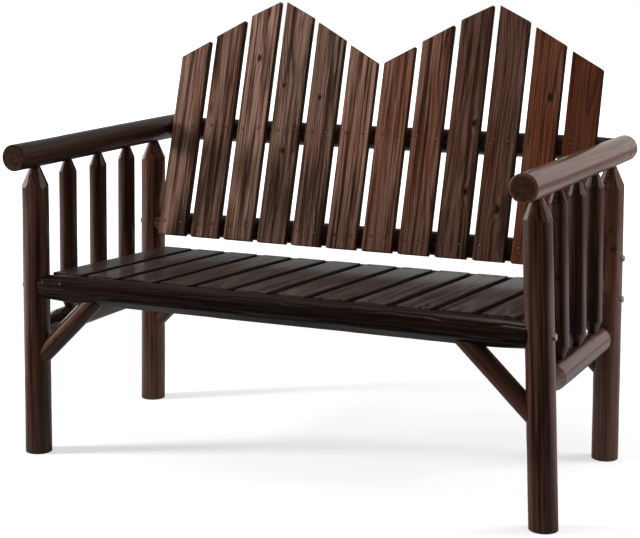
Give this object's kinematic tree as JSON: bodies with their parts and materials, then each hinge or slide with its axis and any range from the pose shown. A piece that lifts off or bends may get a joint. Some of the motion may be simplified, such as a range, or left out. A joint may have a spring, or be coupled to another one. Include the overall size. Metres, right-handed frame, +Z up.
{
  "type": "patio bench",
  "caption": "Rustic outdoor bench of peeled logs with a slatted seat, a leaning slatted back in two gables, log arms with balusters, and corner braces.",
  "frame": {"origin": "on the ground under the middle of the bench's box", "axes": "+X towards the right of the bench seen from the front, +Y from the front of the seat to the back, +Z up"},
  "size_m": [1.2512, 0.7093, 0.9912],
  "materials": {
    "log_wood": "peeled log, dark brown stain under a satin clear coat",
    "seat_wood": "sawn slat, dark brown stain under a satin clear coat",
    "back_wood": "sawn slat, mid brown stain, satin",
    "zinc_fastener": "yellow-zinc plated bolts, washers and screws"
  },
  "bodies": {
    "root": {"arm_left": "log_wood", "arm_right": "log_wood", "arm_screw_left_lower": "zinc_fastener", "arm_screw_left_upper": "zinc_fastener", "arm_screw_right_lower": "zinc_fastener", "arm_screw_right_upper": "zinc_fastener", "back_rail_bolt_left": "zinc_fastener", "back_rail_bolt_right": "zinc_fastener", "back_slat_01": "back_wood", "back_slat_02": "back_wood", "back_slat_03": "back_wood", "back_slat_04": "back_wood", "back_slat_05": "back_wood", "back_slat_06": "back_wood", "back_slat_07": "back_wood", "back_slat_08": "back_wood", "back_slat_09": "back_wood", "back_slat_10": "back_wood", "back_slat_11": "back_wood", "back_slat_12": "back_wood", "baluster_left_1": "log_wood", "baluster_left_2": "log_wood", "baluster_left_3": "log_wood", "baluster_right_1": "log_wood", "baluster_right_2": "log_wood", "baluster_right_3": "log_wood", "brace_front_left": "log_wood", "brace_front_right": "log_wood", "brace_rear_left": "log_wood", "brace_rear_right": "log_wood", "front_seat_bolt_left": "zinc_fastener", "front_seat_bolt_right": "zinc_fastener", "front_seat_rail": "log_wood", "lower_back_rail": "log_wood", "post_front_left": "log_wood", "post_front_right": "log_wood", "post_rear_left": "log_wood", "post_rear_right": "log_wood", "rear_seat_bolt_left": "zinc_fastener", "rear_seat_bolt_right": "zinc_fastener", "rear_seat_rail": "log_wood", "seat_slat_01": "seat_wood", "seat_slat_02": "seat_wood", "seat_slat_03": "seat_wood", "seat_slat_04": "seat_wood", "seat_slat_05": "seat_wood", "seat_slat_06": "seat_wood", "seat_slat_07": "seat_wood", "seat_slat_08": "seat_wood", "seat_slat_09": "seat_wood", "seat_slat_10": "seat_wood", "seat_slat_11": "seat_wood", "seat_slat_12": "seat_wood", "side_rail_left": "log_wood", "side_rail_right": "log_wood", "upper_back_rail": "log_wood"}
  },
  "joints": []
}
